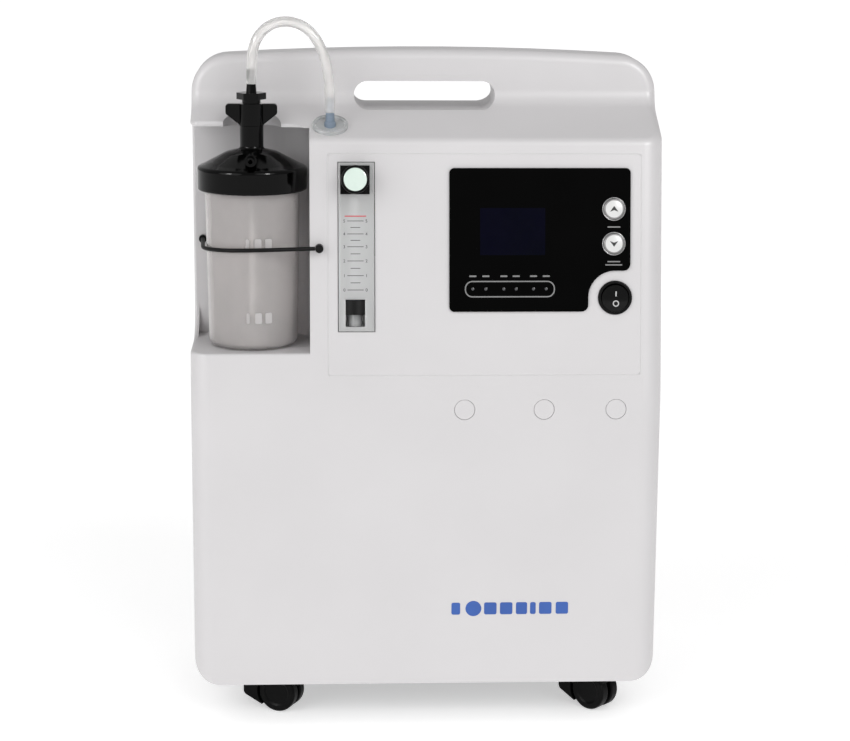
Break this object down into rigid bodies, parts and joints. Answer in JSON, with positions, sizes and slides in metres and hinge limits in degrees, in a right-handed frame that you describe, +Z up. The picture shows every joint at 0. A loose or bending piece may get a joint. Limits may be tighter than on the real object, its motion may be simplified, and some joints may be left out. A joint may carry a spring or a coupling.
{
  "type": "oxygen concentrator",
  "caption": "Upright oxygen concentrator on casters with grip slot, bubble humidifier in a niche, flowmeter, display panel, and inner compressor and gas columns.",
  "frame": {"origin": "on the floor under the middle of the casing", "axes": "+Z up, the front with the panel faces -Y, +X is right seen from the front"},
  "size_m": [0.35, 0.2099, 0.5273],
  "materials": {
    "white_abs": "fine textured",
    "grey_abs": "fine textured",
    "black_gloss": "polished",
    "black_moulding": "satin",
    "silver_button": "satin",
    "mint_cap": "gloss",
    "red_button": "satin",
    "lcd_glass": "gloss",
    "led_lens": "gloss",
    "circuit_board": "solder mask",
    "clear_acrylic": "polished",
    "frosted_pp": "frosted",
    "white_pp": "satin",
    "sintered_plastic": "porous",
    "black_rubber": "matt",
    "clear_silicone": "translucent",
    "clear_pc": "polished",
    "blue_barb": "gloss",
    "steel": "brushed",
    "brass": "turned",
    "black_nylon": "fine textured",
    "caster_tread": "satin",
    "foam": "open cell",
    "cast_aluminium": "as cast",
    "copper_tube": "drawn copper"
  },
  "bodies": {
    "housing": {"base_tray": "grey_abs", "bottle_strap": "black_rubber", "breaker_body": "black_moulding", "bubble_diffuser": "sintered_plastic", "caster_sockets": "black_nylon", "chassis_frame": "steel", "compressor_body": "cast_aluminium", "compressor_mounts": "black_rubber", "control_board": "circuit_board", "control_panel": "white_abs", "cooling_coil": "copper_tube", "dip_tube": "white_pp", "display_board": "circuit_board", "display_cover": "black_gloss", "fan_frame": "black_moulding", "flow_bonnet": "black_moulding", "flowmeter_body": "clear_acrylic", "foam_filter": "foam", "front_shell": "white_abs", "humidifier_lid": "black_gloss", "inlet_pins": "brass", "lcd_module": "lcd_glass", "led_strip": "led_lens", "lid_gasket": "black_rubber", "meter_fittings": "brass", "meter_gasket": "black_rubber", "meter_seat": "brass", "outlet_flange": "clear_pc", "outlet_nozzle": "blue_barb", "oxygen_tank": "cast_aluminium", "oxygen_tube": "clear_silicone", "power_inlet": "black_moulding", "rear_grille": "grey_abs", "rear_shell": "white_abs", "screw_plugs": "white_abs", "sieve_beds": "cast_aluminium", "strap_studs": "black_rubber", "switch_bezel": "black_moulding", "tube_adapter": "black_gloss", "valve_manifold": "cast_aluminium"},
    "flow_knob": {"flow_knob": "black_moulding", "knob_cap": "mint_cap"},
    "float_ball": {"float_ball": "steel"},
    "up_button": {"up_button": "silver_button"},
    "down_button": {"down_button": "silver_button"},
    "power_rocker": {"power_rocker": "black_moulding"},
    "wing_nut": {"wing_nut": "black_gloss"},
    "humidifier_jar": {"humidifier_jar": "frosted_pp"},
    "fan_rotor": {"fan_rotor": "black_moulding"},
    "compressor_shaft": {"compressor_shaft": "steel"},
    "intake_door": {"intake_door": "white_abs"},
    "breaker_button": {"breaker_button": "red_button"},
    "caster_front_left": {"caster_housing_front_left": "black_nylon"},
    "wheels_front_left": {"caster_wheels_front_left": "caster_tread"},
    "caster_front_right": {"caster_housing_front_right": "black_nylon"},
    "wheels_front_right": {"caster_wheels_front_right": "caster_tread"},
    "caster_rear_left": {"caster_housing_rear_left": "black_nylon"},
    "wheels_rear_left": {"caster_wheels_rear_left": "caster_tread"},
    "caster_rear_right": {"caster_housing_rear_right": "black_nylon"},
    "wheels_rear_right": {"caster_wheels_rear_right": "caster_tread"}
  },
  "joints": [
    {"name": "flow_knob_turn", "type": "hinge", "parent": "housing", "child": "flow_knob", "pos_m": [-0.0532, -0.08153, 0.41006], "axis": [0, -0.989, 0.1478], "range_deg": [0, 990]},
    {"name": "float_rise", "type": "slide", "parent": "housing", "child": "float_ball", "axis": [0, 0.1478, 0.989], "range_m": [0, 0.0506]},
    {"name": "up_button_press", "type": "slide", "parent": "housing", "child": "up_button", "axis": [0, 0.989, -0.1478], "range_m": [0, 0.0012], "stiffness_N_per_m": 800},
    {"name": "down_button_press", "type": "slide", "parent": "housing", "child": "down_button", "axis": [0, 0.989, -0.1478], "range_m": [0, 0.0012], "stiffness_N_per_m": 800},
    {"name": "power_rocker_tip", "type": "hinge", "parent": "housing", "child": "power_rocker", "pos_m": [0.1386, -0.09188, 0.32384], "axis": [1, 0, 0], "range_deg": [-12, 0]},
    {"name": "wing_nut_turn", "type": "hinge", "parent": "housing", "child": "wing_nut", "pos_m": [-0.129, -0.06, 0.456], "axis": [0, 0, 1], "range_deg": [0, 450]},
    {"name": "jar_unscrew", "type": "hinge", "parent": "housing", "child": "humidifier_jar", "pos_m": [-0.129, -0.06, 0.34], "axis": [0, 0, 1], "range_deg": [-300, 0]},
    {"name": "intake_door_pull", "type": "slide", "parent": "housing", "child": "intake_door", "axis": [0, 1, 0], "range_m": [0, 0.02]},
    {"name": "breaker_button_pop", "type": "slide", "parent": "housing", "child": "breaker_button", "axis": [0, 1, 0], "range_m": [0, 0.004]},
    {"name": "fan_spin", "type": "hinge", "parent": "housing", "child": "fan_rotor", "pos_m": [0.03, 0.07, 0.255], "axis": [0, 1, 0], "continuous": true},
    {"name": "compressor_spin", "type": "hinge", "parent": "housing", "child": "compressor_shaft", "pos_m": [-0.02, 0.005, 0.122], "axis": [1, 0, 0], "continuous": true},
    {"name": "swivel_front_left", "type": "hinge", "parent": "housing", "child": "caster_front_left", "pos_m": [-0.1223, -0.068, 0.04], "axis": [0, 0, 1], "continuous": true},
    {"name": "roll_front_left", "type": "hinge", "parent": "caster_front_left", "child": "wheels_front_left", "pos_m": [-0.10961, -0.07392, 0.015], "axis": [0.4226, 0.9063, 0], "continuous": true},
    {"name": "swivel_front_right", "type": "hinge", "parent": "housing", "child": "caster_front_right", "pos_m": [0.1223, -0.068, 0.04], "axis": [0, 0, 1], "continuous": true},
    {"name": "roll_front_right", "type": "hinge", "parent": "caster_front_right", "child": "wheels_front_right", "pos_m": [0.1322, -0.0779, 0.015], "axis": [0.7071, 0.7071, 0], "continuous": true},
    {"name": "swivel_rear_left", "type": "hinge", "parent": "housing", "child": "caster_rear_left", "pos_m": [-0.1223, 0.068, 0.04], "axis": [0, 0, 1], "continuous": true},
    {"name": "roll_rear_left", "type": "hinge", "parent": "caster_rear_left", "child": "wheels_rear_left", "pos_m": [-0.10914, 0.06321, 0.015], "axis": [0.342, 0.9397, 0], "continuous": true},
    {"name": "swivel_rear_right", "type": "hinge", "parent": "housing", "child": "caster_rear_right", "pos_m": [0.1223, 0.068, 0.04], "axis": [0, 0, 1], "continuous": true},
    {"name": "roll_rear_right", "type": "hinge", "parent": "caster_rear_right", "child": "wheels_rear_right", "pos_m": [0.13442, 0.075, 0.015], "axis": [-0.5, 0.866, 0], "continuous": true}
  ]
}
